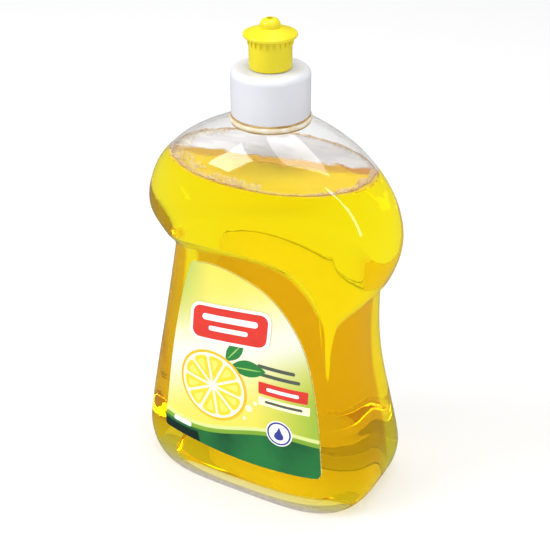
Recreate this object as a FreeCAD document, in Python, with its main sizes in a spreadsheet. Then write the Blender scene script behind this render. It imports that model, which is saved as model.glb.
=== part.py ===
import FreeCAD, Part
import math
import os

os.makedirs("parts", exist_ok=True)
doc = FreeCAD.newDocument("DishSoapBottle")
sheet = doc.addObject("Spreadsheet::Sheet", "Sizes")

# All sizes are millimetres or degrees. The bottle stands on z = 0 with its neck on the Z axis.
SIZES = [
    # blown body: half widths go along X, half depths along Y
    ("wall", 0.55),
    ("base_wall", 0.9),
    ("foot_half_width", 41.8),
    ("foot_half_depth", 27.8),
    ("skirt_half_width", 50.0),
    ("skirt_half_depth", 28.3),
    ("skirt_height", 14.0),
    ("hip_half_width", 49.2),
    ("hip_half_depth", 26.4),
    ("hip_height", 26.0),
    ("waist_half_width", 41.3),
    ("waist_half_depth", 24.4),
    ("waist_height", 66.0),
    ("waist_lean", -0.5),
    ("panel_top_half_width", 35.6),
    ("arch_half_width", 41.2),
    ("panel_top_half_depth", 22.4),
    ("panel_top_height", 100.0),
    ("bulb_half_width", 50.9),
    ("bulb_half_depth", 28.3),
    ("bulb_height", 110.0),
    ("bulb_lean", 0.4),
    ("shoulder_half_width", 37.2),
    ("shoulder_half_depth", 26.0),
    ("shoulder_height", 134.8),
    ("tongue_angle", 45.0),
    ("tongue_height", 62.0),
    ("ledge_side_height", 90.0),
    ("ledge_front_height", 105.8),
    ("ledge_left_height", 98.0),
    ("ledge_drop", 3.2),
    ("ledge_round", 1.6),
    ("ledge_fade", 3.0),
    ("tongue_fade", 6.0),
    ("panel_start_rise", 4.0),
    ("bulb_level_rise", 6.0),
    ("neck_blend_low", 5.2),
    ("neck_blend_high", 1.8),
    ("neck_root_inset", 1.0),
    ("push_up_height", 3.0),
    # neck finish
    ("neck_radius", 10.85),
    ("bore_radius", 9.1),
    ("shoulder_top_height", 147.1),
    ("bead_radius", 14.5),
    ("bead_thickness", 1.7),
    ("bead_edge_radius", 0.7),
    ("neck_length", 15.6),
    # liquid and labels
    ("fill_height", 131.0),
    ("label_gap", 0.1),
    ("label_thickness", 0.25),
    ("label_bottom", 16.6),
    ("label_top", 96.4),
    # closure
    ("cap_radius", 13.9),
    ("cap_edge_radius", 2.4),
    ("cap_lower_edge_radius", 0.4),
    ("cap_clearance", 0.7),
    ("cap_inner_radius", 12.25),
    ("cap_top_thickness", 2.2),
    ("liner_thickness", 1.0),
    ("liner_radius", 11.9),
    ("liner_bore_radius", 5.0),
    ("tube_radius", 5.2),
    ("tube_bore_radius", 3.9),
    ("post_radius", 1.5),
    ("post_tip_radius", 0.8),
    ("web_thickness", 1.0),
    ("web_overlap", 0.5),
    ("slide_gap", 0.3),
    # pull spout
    ("spout_radius", 7.45),
    ("spout_length", 10.6),
    ("rim_radius", 9.3),
    ("rim_thickness", 1.3),
    ("rim_lower_edge_radius", 0.6),
    ("rim_upper_edge_radius", 0.5),
    ("spout_roof_drop", 0.2),
    ("crown_height", 1.9),
    ("knob_radius", 3.5),
    ("knob_height", 3.0),
    ("orifice_radius", 1.1),
    ("grip_count", 24),
    ("grip_height", 2.3),
    ("grip_depth", 0.45),
    ("grip_width", 0.9),
    ("grip_root", 0.4),
    ("grip_overlap", 0.2),
]
for row_number, (size_name, size_value) in enumerate(SIZES, start=1):
    sheet.set("A%d" % row_number, size_name)
    sheet.set("B%d" % row_number, str(size_value))
    sheet.setAlias("B%d" % row_number, size_name)

# Heights that follow from the sizes above, kept in the sheet as formulas.
DERIVED = [
    ("lip_height", "=shoulder_top_height + neck_length"),
    ("cap_bottom", "=shoulder_top_height + bead_thickness + cap_clearance"),
    ("cap_roof", "=lip_height + liner_thickness"),
    ("cap_top", "=cap_roof + cap_top_thickness"),
    ("spout_bottom", "=cap_top + slide_gap"),
    ("rim_bottom", "=spout_bottom + spout_length"),
    ("rim_top", "=rim_bottom + rim_thickness"),
    ("knob_base", "=rim_top + crown_height"),
    ("spout_top", "=knob_base + knob_height"),
    ("spout_roof", "=rim_top - spout_roof_drop"),
    ("tube_top", "=spout_roof - slide_gap"),
]
for row_number, (size_name, formula) in enumerate(DERIVED, start=len(SIZES) + 1):
    sheet.set("A%d" % row_number, size_name)
    sheet.set("B%d" % row_number, formula)
    sheet.setAlias("B%d" % row_number, size_name)
doc.recompute()


def size(name):
    return float(sheet.get(name))


# How the section rounds off: 2 is an ellipse, larger is squarer.
FOOT_SQUARENESS = 4.0
LOWER_SQUARENESS = 3.1
BULB_SQUARENESS = 2.05
# How many points go round a section on each side of the two tongues, and how much they crowd towards them.
POINT_COUNT_RIGHT = 20
POINT_COUNT_LEFT = 52
TONGUE_CROWDING = 0.62
# Edge numbers of the two round edges of a cylinder.
BOTTOM_EDGE_NUMBER = 2
TOP_EDGE_NUMBER = 3
# The dome of the spout's knob takes up this share of the knob's radius.
KNOB_ROUNDNESS = 0.66


def smooth_through(keys):
    """A curve through (x, y) keys with no overshoot between them."""
    xs = [key[0] for key in keys]
    ys = [key[1] for key in keys]
    count = len(keys)
    steps = [xs[i + 1] - xs[i] for i in range(count - 1)]
    slopes = [(ys[i + 1] - ys[i]) / steps[i] for i in range(count - 1)]
    tangents = [slopes[0]] + [0.0] * (count - 2) + [slopes[-1]]
    for i in range(1, count - 1):
        if slopes[i - 1] * slopes[i] > 0:
            before = 2 * steps[i] + steps[i - 1]
            after = steps[i] + 2 * steps[i - 1]
            tangents[i] = (before + after) / (before / slopes[i - 1] + after / slopes[i])

    def value(x):
        if x <= xs[0]:
            return ys[0]
        if x >= xs[-1]:
            return ys[-1]
        i = max(j for j in range(count - 1) if xs[j] <= x)
        share = (x - xs[i]) / steps[i]
        rise = ys[i + 1] - ys[i]
        smooth = share * share * (3 - 2 * share)
        bend_in = share * (1 - share) ** 2 * steps[i] * tangents[i]
        bend_out = share * share * (share - 1) * steps[i] * tangents[i + 1]
        return ys[i] + rise * smooth + bend_in + bend_out

    return value


def panel_profiles():
    """Half widths to the right and left and half depth of the recessed lower body by height."""
    heights = (size("skirt_height"), size("hip_height"), size("waist_height"), size("panel_top_height"))
    widths = [size(part + "_half_width") for part in ("skirt", "hip", "waist", "panel_top")]
    right_widths = widths[:3] + [size("arch_half_width")]
    depths = [size(part + "_half_depth") for part in ("skirt", "hip", "waist", "panel_top")]
    return [smooth_through(list(zip(heights, values))) for values in (right_widths, widths, depths)]


def bulb_profiles(right_panel, left_panel, depth):
    """Half widths to the right and left, half depth and squareness of the bulb by height."""
    tip = size("tongue_height")
    side = size("ledge_side_height")
    left = size("ledge_left_height")
    bulb = size("bulb_height")
    shoulder = size("shoulder_height")
    top = size("shoulder_top_height")
    bead = size("bead_radius")
    neck_root = bead - size("neck_root_inset")
    blend_low = top - size("neck_blend_low")
    blend_high = top - size("neck_blend_high")
    below_tip = tip - size("tongue_fade")
    middle = (tip + side) / 2

    def between(height, share, low, high):
        return (height, low + share * (high - low))

    def shoulder_keys(full, at_shoulder):
        return [(bulb, full), between(0.5 * (bulb + shoulder), 0.22, full, at_shoulder),
                (shoulder, at_shoulder), between(blend_low, 0.48, at_shoulder, bead),
                between(blend_high, 0.88, at_shoulder, bead), (top, neck_root)]

    full_width = size("bulb_half_width")
    widths_above = shoulder_keys(full_width, size("shoulder_half_width"))
    right = [(below_tip, right_panel(below_tip)), (tip, right_panel(tip) + 0.1),
             (middle, right_panel(middle) + 0.8),
             between(side, 0.4, right_panel(side), full_width),
             between(side + 0.4 * (bulb - side), 0.74, right_panel(side), full_width),
             between(side + 0.73 * (bulb - side), 0.94, right_panel(side), full_width)]
    right += widths_above
    left_keys = [(tip, left_panel(tip) + 0.1), between(left, 0.3, left_panel(left), full_width),
                 between(left + 0.25 * (bulb - left), 0.45, left_panel(left), full_width),
                 between(left + 0.6 * (bulb - left), 0.92, left_panel(left), full_width)] + widths_above
    full_depth = size("bulb_half_depth")
    depths = [(below_tip, depth(below_tip)), (tip, depth(tip) + 0.1), (middle, depth(middle) + 1.3),
              between(side, 0.6, depth(side), full_depth),
              (0.5 * (side + bulb), full_depth - 0.9)]
    depths += shoulder_keys(full_depth, size("shoulder_half_depth"))
    squareness = [(tip, LOWER_SQUARENESS), (side, 2.6), (bulb, BULB_SQUARENESS), (top, 2.0)]
    return (smooth_through(right), smooth_through(left_keys), smooth_through(depths),
            smooth_through(squareness))


def ledge_line():
    """Height of the ledge by the angle from the right side, 0 to 180 degrees, the same front and back."""
    tongue = size("tongue_angle")
    tip = size("tongue_height")
    side = size("ledge_side_height")
    front = size("ledge_front_height")
    left = size("ledge_left_height")
    keys = [(0, side + 0.5), (0.33 * tongue, side)]
    # the V of the tongue: short steep run on the right, longer arch on the front
    for angle_before, share in ((7.0, 0.82), (3.6, 0.59), (1.7, 0.33), (0.0, 0.0)):
        keys.append((tongue - angle_before, tip + share * (side - tip)))
    for angle_after, share in ((1.3, 0.25), (3.0, 0.52), (6.0, 0.65), (12.0, 0.815), (21.0, 0.943),
                               (39.0, 1.0)):
        keys.append((tongue + angle_after, tip + share * (front - tip)))
    keys += [(108, front - 1.1), (128, 0.5 * (front + left)), (155, left + 0.8), (180, left)]
    return smooth_through(keys)


def turn_angles():
    """Angles once round the bottle, closer together at the tongue tips."""
    tongue = size("tongue_angle")
    angles = []
    for first, span, count in ((-tongue, 2 * tongue, POINT_COUNT_RIGHT),
                               (tongue, 360 - 2 * tongue, POINT_COUNT_LEFT)):
        for step in range(count):
            share = step / count
            even = share - TONGUE_CROWDING * math.sin(2 * math.pi * share) / (2 * math.pi)
            angles.append(first + span * even)
    return angles


def rim_point(half_width, half_depth, squareness, angle, height, lean=0.0):
    """One point of a rounded section, at an angle given in degrees."""
    across = math.cos(math.radians(angle))
    along = math.sin(math.radians(angle))
    reach = (abs(across) ** squareness + abs(along) ** squareness) ** (-1.0 / squareness)
    return FreeCAD.Vector(half_width * across * reach + lean, half_depth * along * reach, height)


def skin_solid(rows):
    """A smooth closed solid drawn through a net of rows, flat at its first and last row."""
    around = len(rows[0])
    along = len(rows)
    net = [[row[i] for row in rows] for i in range(around)]
    surface = Part.BSplineSurface()
    surface.buildFromPolesMultsKnots(net, [1] * (around + 1), [4] + [1] * (along - 4) + [4],
                                     list(range(around + 1)), list(range(along - 2)), True, False, 3, 3)
    side = surface.toShape()
    caps = [Part.Face(Part.Wire([surface.vIso(end).toShape()])) for end in (0, along - 3)]
    shell = Part.makeShell([side] + caps)
    shell.sewShape()
    solid = Part.makeSolid(shell)
    if solid.Volume < 0:
        solid.reverse()
    return solid


def body_skin(inset, base_inset):
    """The whole blown outline as one smooth solid, drawn in by a wall thickness."""
    right_panel, left_panel, depth = panel_profiles()
    right_width, left_width, bulb_depth, bulb_squareness = bulb_profiles(right_panel, left_panel, depth)
    ledge = ledge_line()
    angles = turn_angles()
    skirt = size("skirt_height")
    hip = size("hip_height")
    bulb = size("bulb_height")
    top = size("shoulder_top_height")
    drop = size("ledge_drop")
    ledge_round = size("ledge_round")
    fade = size("ledge_fade")
    foot_width = size("foot_half_width")
    foot_depth = size("foot_half_depth")
    lean = smooth_through([(skirt, 0.0), (size("waist_height"), size("waist_lean")),
                           (bulb, size("bulb_lean")), (top - 8.0, 0.0)])
    lower_squareness = smooth_through([(skirt, FOOT_SQUARENESS - 0.2), (hip + 10.0, LOWER_SQUARENESS)])
    rows = []

    def add_row(point_at):
        rows.append([point_at(angle) for angle in angles])

    def ledge_height(angle):
        return ledge(abs((angle + 180.0) % 360.0 - 180.0))

    def on_right(angle):
        return math.cos(math.radians(angle)) > 0

    def recessed(angle, height):
        half_width = right_panel(height) if on_right(angle) else left_panel(height)
        return rim_point(half_width - inset, depth(height) - inset, lower_squareness(height), angle, height,
                         lean(height))

    def full(angle, height):
        half_width = right_width(height) if on_right(angle) else left_width(height)
        half_depth = bulb_depth(height) - inset
        return rim_point(half_width - inset, half_depth, bulb_squareness(height), angle, height, lean(height))

    def stepped(angle, lift, share):
        height = ledge_height(angle) + lift
        low = recessed(angle, height)
        high = full(angle, height)
        return low + (high - low) * share

    # rounded heel, wide at the ends and tight at the front, from the foot ring up to the skirt
    for turn in (0.0, 18.0, 36.0, 54.0, 72.0, 90.0):
        rise = 1 - math.cos(math.radians(turn))
        spread = math.sin(math.radians(turn))
        half_width = foot_width + (size("skirt_half_width") - foot_width) * spread - inset
        half_depth = foot_depth + (size("skirt_half_depth") - foot_depth) * spread ** 0.6 - inset
        height = base_inset + rise * (skirt - base_inset)
        squareness = FOOT_SQUARENESS - 0.2 * spread
        add_row(lambda angle: rim_point(half_width, half_depth, squareness, angle, height))
    # recessed panels, then the step of the ledge out to the bulb
    start = skirt + size("panel_start_rise")
    for share in (0.0, 0.1, 0.3, 0.6, 0.85):
        add_row(lambda angle: recessed(angle, start + share * (ledge_height(angle) - drop - fade - start)))
    for lift, share in ((-drop - ledge_round, 0.0), (-drop, 0.1), (-0.5 * drop, 0.5), (0.0, 0.9),
                        (ledge_round, 1.0)):
        add_row(lambda angle: stepped(angle, lift + inset * 0.4, share))
    # bulb, levelling out above the ledge, then the shoulder up to the neck
    level = bulb + size("bulb_level_rise")
    for share in (0.3, 0.65, 1.0):
        add_row(lambda angle: full(angle, level - (1 - share) * (level - ledge_height(angle) - fade)))
    for share in (0.3, 0.55, 0.76, 0.9, 1.0):
        height = level + share * (top - level)
        add_row(lambda angle: full(angle, height) - FreeCAD.Vector(0, 0, inset * share))
    return skin_solid(rows)


def push_up(grow, lift):
    """Shallow hollow under the base, as a solid to take away."""
    rows = []
    for share, rise in ((0.88, -0.2), (0.87, -0.1), (0.86, 0.0), (0.8, 0.55), (0.66, 0.95), (0.4, 1.0),
                        (0.1, 1.0)):
        half_width = size("foot_half_width") * share + grow
        half_depth = size("foot_half_depth") * (share - 0.06) + grow
        height = rise * size("push_up_height") + (lift if rise > 0 else 0.0)
        rows.append([rim_point(half_width, half_depth, 3.0, angle, height) for angle in range(0, 360, 15)])
    return skin_solid(rows)


def from_code(label, shape):
    obj = doc.addObject("Part::Feature", label)
    obj.Label = label
    obj.Shape = shape
    return obj


def bind(obj, **expressions):
    for prop, expression in expressions.items():
        obj.setExpression(prop.replace("__", "."), expression)
    return obj


def cylinder(name, radius, bottom, top):
    obj = doc.addObject("Part::Cylinder", name)
    return bind(obj, Radius="Sizes." + radius, Height="Sizes.%s - Sizes.%s" % (top, bottom),
                Placement__Base__z="Sizes." + bottom)


def combine(kind, name, base, tool):
    obj = doc.addObject("Part::" + kind, name)
    obj.Base = base
    obj.Tool = tool
    return obj


def fuse_all(name, pieces):
    obj = doc.addObject("Part::MultiFuse", name)
    obj.Shapes = pieces
    obj.Refine = True
    return obj


# Blown bottle
outer_skin = body_skin(0.0, 0.0)
inner_skin = body_skin(size("wall"), size("base_wall"))
outer_body = from_code("outer_body", outer_skin.cut(push_up(0.0, 0.0)))
cavity = from_code("cavity", inner_skin.cut(push_up(size("base_wall"), size("base_wall"))))
bead = doc.addObject("Part::Cylinder", "bead")
bind(bead, Radius="Sizes.bead_radius", Height="Sizes.bead_thickness",
     Placement__Base__z="Sizes.shoulder_top_height")
doc.recompute()
bead_round = doc.addObject("Part::Fillet", "bead_round")
bead_round.Base = bead
bead_edge = size("bead_edge_radius")
bead_round.Edges = [(BOTTOM_EDGE_NUMBER, bead_edge, bead_edge), (TOP_EDGE_NUMBER, bead_edge, bead_edge)]
neck = doc.addObject("Part::Cylinder", "neck")
bind(neck, Radius="Sizes.neck_radius", Height="Sizes.neck_length + 1",
     Placement__Base__z="Sizes.shoulder_top_height - 1")
outside = fuse_all("outside", [outer_body, bead_round, neck])
bore = doc.addObject("Part::Cylinder", "bore")
bind(bore, Radius="Sizes.bore_radius", Height="Sizes.neck_length + 4",
     Placement__Base__z="Sizes.shoulder_top_height - 3")

# Liquid up to the fill height, headspace above it
fill_box = doc.addObject("Part::Box", "fill_box")
bind(fill_box, Length="4 * Sizes.bulb_half_width", Width="4 * Sizes.bulb_half_depth",
     Height="Sizes.fill_height", Placement__Base__x="-2 * Sizes.bulb_half_width",
     Placement__Base__y="-2 * Sizes.bulb_half_depth")
liquid = combine("Common", "liquid_soap", cavity, fill_box)
headspace = combine("Cut", "headspace", cavity, fill_box)
hollow = doc.addObject("Part::MultiFuse", "hollow")
hollow.Shapes = [liquid, headspace, bore]
bottle = combine("Cut", "bottle", outside, hollow)


def label_outline():
    """Outline in the XZ plane: straight left side, arch falling to the right, bowed bottom.

    Places across are shares of the skirt's half width, and places up are shares of the label's height.
    """
    low = size("label_bottom")
    rise = size("label_top") - low
    half_width = size("skirt_half_width")
    in_front = -2 * size("bulb_half_depth")

    def curve(*places):
        line = Part.BSplineCurve()
        line.interpolate(Points=[FreeCAD.Vector(across * half_width, in_front, low + up * rise)
                                 for across, up in places])
        return line.toShape()

    left_edge = curve((-0.692, 0.06), (-0.64, 0.4), (-0.548, 0.72), (-0.446, 0.955))
    top_corner = curve((-0.446, 0.955), (-0.428, 0.975), (-0.388, 0.985))
    arch = curve((-0.388, 0.985), (-0.19, 1.0), (0.02, 0.975), (0.22, 0.925), (0.392, 0.82), (0.512, 0.68),
                 (0.58, 0.52), (0.646, 0.28), (0.696, 0.055))
    right_corner = curve((0.696, 0.055), (0.688, 0.028), (0.648, 0.018))
    bottom = curve((0.648, 0.018), (0.36, 0.006), (0.0, 0.0), (-0.36, 0.016), (-0.644, 0.03))
    left_corner = curve((-0.644, 0.03), (-0.682, 0.037), (-0.692, 0.06))
    return Part.Wire([left_edge, top_corner, arch, right_corner, bottom, left_corner])


# Labels: the film lies just off the recessed panels, the back one a mirror image of the front
film_inside = -size("label_gap")
film_outside = film_inside - size("label_thickness")
label_face = Part.Face(label_outline())
front_cut = label_face.extrude(FreeCAD.Vector(0, 2 * size("bulb_half_depth"), 0))
film = body_skin(film_outside, 0.0).common(front_cut).cut(body_skin(film_inside, 0.0))
front_label = from_code("front_label", film)
back_label = from_code("back_label", film.mirror(FreeCAD.Vector(0, 0, 0), FreeCAD.Vector(0, 1, 0)))

# Sealing washer
washer = cylinder("washer", "liner_radius", "lip_height", "cap_roof")
washer_bore = cylinder("washer_bore", "liner_bore_radius", "lip_height", "cap_roof")
liner = combine("Cut", "cap_liner", washer, washer_bore)

# Closure: skirt and roof, spout tube, plug post on three webs
skirt_block = cylinder("skirt_block", "cap_radius", "cap_bottom", "cap_top")
doc.recompute()
skirt_round = doc.addObject("Part::Fillet", "skirt_round")
skirt_round.Base = skirt_block
upper_edge = size("cap_edge_radius")
lower_edge = size("cap_lower_edge_radius")
skirt_round.Edges = [(TOP_EDGE_NUMBER, upper_edge, upper_edge),
                     (BOTTOM_EDGE_NUMBER, lower_edge, lower_edge)]
skirt_room = cylinder("skirt_room", "cap_inner_radius", "cap_bottom", "cap_roof")
skirt = combine("Cut", "skirt", skirt_round, skirt_room)
tube = cylinder("tube", "tube_radius", "cap_roof", "tube_top")
skirt_and_tube = fuse_all("skirt_and_tube", [skirt, tube])
tube_bore = cylinder("tube_bore", "tube_bore_radius", "cap_roof", "tube_top")
drilled = combine("Cut", "drilled", skirt_and_tube, tube_bore)
post = cylinder("post", "post_radius", "cap_roof", "rim_top")
post_tip = cylinder("post_tip", "post_tip_radius", "rim_top", "knob_base")
webs = []
for web_number in range(3):
    web = doc.addObject("Part::Box", "web_%d" % web_number)
    bind(web, Length="Sizes.tube_bore_radius + Sizes.web_overlap", Width="Sizes.web_thickness",
         Height="Sizes.cap_top_thickness", Placement__Base__z="Sizes.cap_roof")
    web.Placement.Rotation = FreeCAD.Rotation(FreeCAD.Vector(0, 0, 1), 120.0 * web_number)
    turn = math.radians(120.0 * web_number)
    bind(web, Placement__Base__x="%.6f * Sizes.web_thickness" % (0.5 * math.sin(turn)),
         Placement__Base__y="%.6f * Sizes.web_thickness" % (-0.5 * math.cos(turn)))
    webs.append(web)
cap = fuse_all("screw_cap", [drilled, post, post_tip] + webs)

# Pull spout: sleeve, grips, rim, crown and knob
sleeve = cylinder("sleeve", "spout_radius", "spout_bottom", "rim_bottom")
rim = cylinder("rim", "rim_radius", "rim_bottom", "rim_top")
doc.recompute()
rim_round = doc.addObject("Part::Fillet", "rim_round")
rim_round.Base = rim
rim_low = size("rim_lower_edge_radius")
rim_high = size("rim_upper_edge_radius")
rim_round.Edges = [(BOTTOM_EDGE_NUMBER, rim_low, rim_low), (TOP_EDGE_NUMBER, rim_high, rim_high)]
crown = doc.addObject("Part::Cone", "crown")
bind(crown, Radius1="Sizes.rim_radius - Sizes.rim_lower_edge_radius",
     Radius2="Sizes.knob_radius + Sizes.rim_upper_edge_radius", Height="Sizes.crown_height",
     Placement__Base__z="Sizes.rim_top")
knob = doc.addObject("Part::Cylinder", "knob")
bind(knob, Radius="Sizes.knob_radius", Height="Sizes.knob_height + Sizes.crown_height",
     Placement__Base__z="Sizes.rim_top")
doc.recompute()
knob_round = doc.addObject("Part::Fillet", "knob_round")
knob_round.Base = knob
knob_edge = KNOB_ROUNDNESS * size("knob_radius")
knob_round.Edges = [(TOP_EDGE_NUMBER, knob_edge, knob_edge)]
grips = []
for grip_number in range(int(size("grip_count"))):
    grip = doc.addObject("Part::Box", "grip_%d" % grip_number)
    turn = 360.0 * grip_number / size("grip_count")
    reach = size("spout_radius") - size("grip_root")
    bind(grip, Length="Sizes.grip_depth + Sizes.grip_root", Width="Sizes.grip_width",
         Height="Sizes.grip_height + Sizes.grip_overlap")
    turned = FreeCAD.Placement(FreeCAD.Vector(0, 0, size("rim_bottom") - size("grip_height")),
                               FreeCAD.Rotation(FreeCAD.Vector(0, 0, 1), turn))
    outward = FreeCAD.Vector(reach, -0.5 * size("grip_width"), 0)
    grip.Placement = turned.multiply(FreeCAD.Placement(outward, FreeCAD.Rotation()))
    grips.append(grip)
spout_block = fuse_all("spout_block", [sleeve, rim_round, crown, knob_round] + grips)
spout_bore = doc.addObject("Part::Cylinder", "spout_bore")
bind(spout_bore, Radius="Sizes.tube_radius + Sizes.slide_gap",
     Height="Sizes.spout_roof - Sizes.spout_bottom", Placement__Base__z="Sizes.spout_bottom")
post_room = doc.addObject("Part::Cylinder", "post_room")
bind(post_room, Radius="Sizes.post_radius + Sizes.slide_gap", Height="Sizes.crown_height",
     Placement__Base__z="Sizes.spout_roof - 0.5")
orifice = cylinder("orifice", "orifice_radius", "rim_top", "spout_top")
spout_room = fuse_all("spout_room", [spout_bore, post_room, orifice])
spout = combine("Cut", "pull_spout", spout_block, spout_room)

doc.recompute()

NODES = [bottle, liquid, front_label, back_label, liner, cap, spout]
for obj in doc.Objects:
    if "Invalid" in obj.State or "Error" in obj.State:
        raise RuntimeError("not valid: %s %s" % (obj.Label, obj.State))
for node in NODES:
    shape = node.Shape
    if shape.isNull() or not shape.isValid() or len(shape.Solids) != 1:
        raise RuntimeError("bad shape: %s, solids %d, valid %s"
                           % (node.Label, len(shape.Solids), shape.isValid()))
    shape.Solids[0].exportStep("parts/%s.step" % node.Label)
    box = shape.BoundBox
    print("%-12s volume %9.1f  x %.1f %.1f  y %.1f %.1f  z %.1f %.1f"
          % (node.Label, shape.Volume, box.XMin, box.XMax, box.YMin, box.YMax, box.ZMin, box.ZMax))
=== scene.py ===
import math
import random

import bmesh
import bpy
from mathutils import Matrix, Vector
from mathutils.bvhtree import BVHTree


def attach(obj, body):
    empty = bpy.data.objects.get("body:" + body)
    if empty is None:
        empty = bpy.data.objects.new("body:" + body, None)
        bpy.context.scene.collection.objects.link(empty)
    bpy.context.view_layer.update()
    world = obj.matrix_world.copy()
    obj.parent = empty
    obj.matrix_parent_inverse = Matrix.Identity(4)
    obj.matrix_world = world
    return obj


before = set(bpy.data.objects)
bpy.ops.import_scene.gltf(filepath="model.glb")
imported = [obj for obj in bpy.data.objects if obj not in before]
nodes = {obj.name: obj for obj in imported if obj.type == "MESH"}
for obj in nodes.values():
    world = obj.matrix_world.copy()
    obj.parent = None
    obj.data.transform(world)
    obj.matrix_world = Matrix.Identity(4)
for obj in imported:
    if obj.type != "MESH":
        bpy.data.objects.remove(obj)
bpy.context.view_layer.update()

MM = 0.001

# Print: spacing of the cuts that let it follow the film, and the thickness of one layer of ink.
PRINT_STEP = 2.5 * MM
INK_STEP = 0.035 * MM

# Refractive indices. The wall's is lower than that of real bottle plastic, and near the liquid's.
WALL_IOR = 1.38
LIQUID_IOR = 1.36
CLOSURE_IOR = 1.49
PRINT_IOR = 1.45

WHITE = (1.0, 1.0, 1.0, 1.0)

# The wall: its own tint, the painted amber shade of its recessed panels, and that of the light it lets
# through to its shadow.
WALL_TINT = (0.985, 0.99, 0.99, 1.0)
PAINTED_RECESS_SHADE = (0.58, 0.29, 0.1, 1.0)
SHADOW_TINT = (0.64, 0.64, 0.65, 1.0)

# The liquid: tint and density of the volume that absorbs light, and tint and strength of its painted glow.
SOAP_TINT = (0.9833, 0.9483, 0.0, 1.0)
SOAP_DENSITY = 120.0
SOAP_GLOW_TINT = (0.93, 1.0, 0.0, 1.0)
SOAP_GLOW = 1.15

# The liquid's surface: direction across it, towards the back and a little left, then the places along
# that direction where the painted front fades out and the painted pale reflection begins, and the raggedness
# of both.
TOP_DIRECTION = (-0.206, 0.979)
TOP_FRONT = (0.0035, 0.0005)
TOP_PAINTED_REFLECTION = (0.0065, 0.0085)
TOP_RAGGEDNESS = 0.009

# The floor: its tint, what mirror reflections see of it, and the shares of its glow that straight rays
# and rays through the bottle see.
FLOOR_TINT = (0.81, 0.81, 0.82, 1.0)
FLOOR_MIRRORED = (0.2, 0.2, 0.2, 1.0)
FLOOR_GLOW_STRAIGHT = 0.38
FLOOR_GLOW_THROUGH = 0.85

# Light of the room, and how much less of it mirror reflections see.
ROOM_LIGHT = 0.75
ROOM_DIMMING = 0.6

# How far labels and liquid are pushed outward, how near counts as touching, and how near as level.
LABEL_PUSH = 0.2 * MM
LIQUID_PUSH = 0.12 * MM
TOUCHING = 0.2 * MM
LEVEL = 0.05 * MM

# A depth in metres that lies outside the bottle.
OUTSIDE = 0.08

# The threads: lead and turns, as in the closure's joints.
THREAD_LEAD = 3.175 * MM
THREAD_TURNS = 1.5


# Shader helpers

def new_material(name):
    """An empty node material with its tree, output and principled shader."""
    material = bpy.data.materials.new(name)
    material.use_nodes = True
    tree = material.node_tree
    shader = tree.nodes["Principled BSDF"]
    output = tree.nodes["Material Output"]
    return material, tree, shader, output


def set_inputs(shader, **values):
    for name, value in values.items():
        shader.inputs[name.replace("_", " ")].default_value = value


def add_node(tree, kind, **settings):
    node = tree.nodes.new(kind)
    for name, value in settings.items():
        setattr(node, name, value)
    return node


def colour(red, green, blue):
    """A linear colour from 8-bit display values."""
    def linear(value):
        share = value / 255.0
        return share / 12.92 if share <= 0.04045 else ((share + 0.055) / 1.055) ** 2.4
    return (linear(red), linear(green), linear(blue), 1.0)


def noise(tree, scale, detail=2.0, stretch=(1.0, 1.0, 1.0)):
    """Noise over object coordinates, given in waves a metre."""
    place = add_node(tree, "ShaderNodeTexCoord")
    mapping = add_node(tree, "ShaderNodeMapping")
    mapping.inputs["Scale"].default_value = stretch
    tree.links.new(place.outputs["Object"], mapping.inputs["Vector"])
    field = add_node(tree, "ShaderNodeTexNoise")
    field.inputs["Scale"].default_value = scale
    field.inputs["Detail"].default_value = detail
    tree.links.new(mapping.outputs["Vector"], field.inputs["Vector"])
    return field.outputs["Fac"]


def add_bump(tree, shader, height, depth):
    """Bump of a real depth in metres."""
    bump = add_node(tree, "ShaderNodeBump")
    bump.inputs["Distance"].default_value = depth
    bump.inputs["Strength"].default_value = 1.0
    tree.links.new(height, bump.inputs["Height"])
    tree.links.new(bump.outputs["Normal"], shader.inputs["Normal"])


def spread(tree, value, low, high):
    """The value stretched from low..high to 0..1."""
    ramp = add_node(tree, "ShaderNodeMapRange")
    ramp.inputs["From Min"].default_value = low
    ramp.inputs["From Max"].default_value = high
    tree.links.new(value, ramp.inputs["Value"])
    return ramp.outputs["Result"]


def calculate(tree, operation, first, second=0.0, third=0.0):
    """The output of a maths node over sockets or plain numbers."""
    node = add_node(tree, "ShaderNodeMath", operation=operation)
    for number, value in enumerate((first, second, third)):
        if isinstance(value, (int, float)):
            node.inputs[number].default_value = value
        else:
            tree.links.new(value, node.inputs[number])
    return node.outputs[0]


def times(tree, first, second):
    return calculate(tree, "MULTIPLY", first, second)


def object_axes(tree):
    """Object coordinates X, Y and Z in metres."""
    place = add_node(tree, "ShaderNodeTexCoord")
    parts = add_node(tree, "ShaderNodeSeparateXYZ")
    tree.links.new(place.outputs["Object"], parts.inputs["Vector"])
    return parts.outputs["X"], parts.outputs["Y"], parts.outputs["Z"]


def mix_by(tree, factor, low, high):
    """A blend of two colours, each a socket or a constant."""
    mix = add_node(tree, "ShaderNodeMix", data_type="RGBA")
    tree.links.new(factor, mix.inputs["Factor"])
    for name, value in (("A", low), ("B", high)):
        if isinstance(value, tuple):
            mix.inputs[name].default_value = value
        else:
            tree.links.new(value, mix.inputs[name])
    return mix.outputs["Result"]


def clear_for(tree, rays, shader, output, tint):
    """The surface lets these rays straight through, with a pale tint."""
    clear = add_node(tree, "ShaderNodeBsdfTransparent")
    clear.inputs["Color"].default_value = tint
    mix = add_node(tree, "ShaderNodeMixShader")
    tree.links.new(rays, mix.inputs["Fac"])
    tree.links.new(shader, mix.inputs[1])
    tree.links.new(clear.outputs["BSDF"], mix.inputs[2])
    tree.links.new(mix.outputs["Shader"], output.inputs["Surface"])


def let_lamps_through(tree, shader, output, tint):
    """Lamps light what lies behind a clear surface."""
    path = add_node(tree, "ShaderNodeLightPath")
    clear_for(tree, path.outputs["Is Shadow Ray"], shader, output, tint)


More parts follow.
